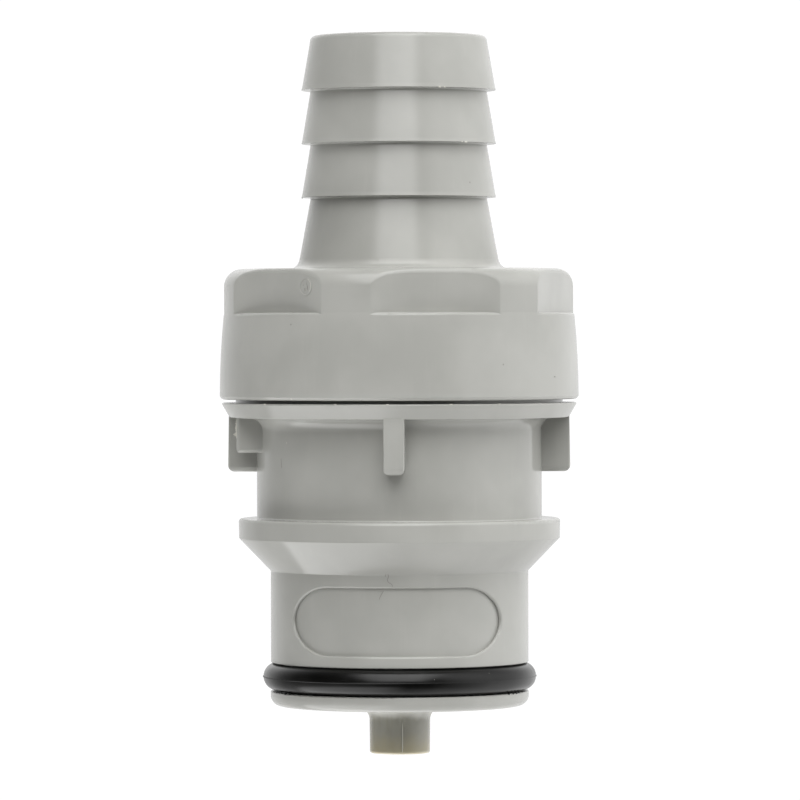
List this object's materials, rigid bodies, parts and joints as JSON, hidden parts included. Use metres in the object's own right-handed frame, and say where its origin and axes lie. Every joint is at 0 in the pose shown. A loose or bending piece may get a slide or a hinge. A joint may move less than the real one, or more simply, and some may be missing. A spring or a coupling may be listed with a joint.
{
  "type": "plastic quick disconnect coupling",
  "caption": "In-line quick disconnect insert: hose-barb end, hex collar, ribbed latch body and O-ring sealed plug with a sprung poppet valve.",
  "frame": {"origin": "on the flow axis, in the plane of the hose-barb end face", "axes": "+Z along the flow axis from the hose barb to the sealing nose; the front rib and the recessed panel face -Y"},
  "size_m": [0.0316, 0.0316, 0.063],
  "materials": {
    "moulded_plastic": "semi-gloss moulded",
    "poppet_plastic": "semi-gloss moulded",
    "black_rubber": "satin",
    "spring_wire": "drawn wire"
  },
  "bodies": {
    "coupling_body": {"hose_barb_adapter": "moulded_plastic", "insert_body": "moulded_plastic", "plug_oring": "black_rubber", "valve_spring": "spring_wire", "valve_guide": "poppet_plastic"},
    "poppet": {"poppet_valve": "poppet_plastic", "valve_seal": "black_rubber"}
  },
  "joints": [
    {"name": "valve_slide", "type": "slide", "parent": "coupling_body", "child": "poppet", "axis": [0, 0, -1], "range_m": [0, 0.0045], "stiffness_N_per_m": 720, "springref_m": -0.0065, "deforming": ["valve_spring"]}
  ]
}
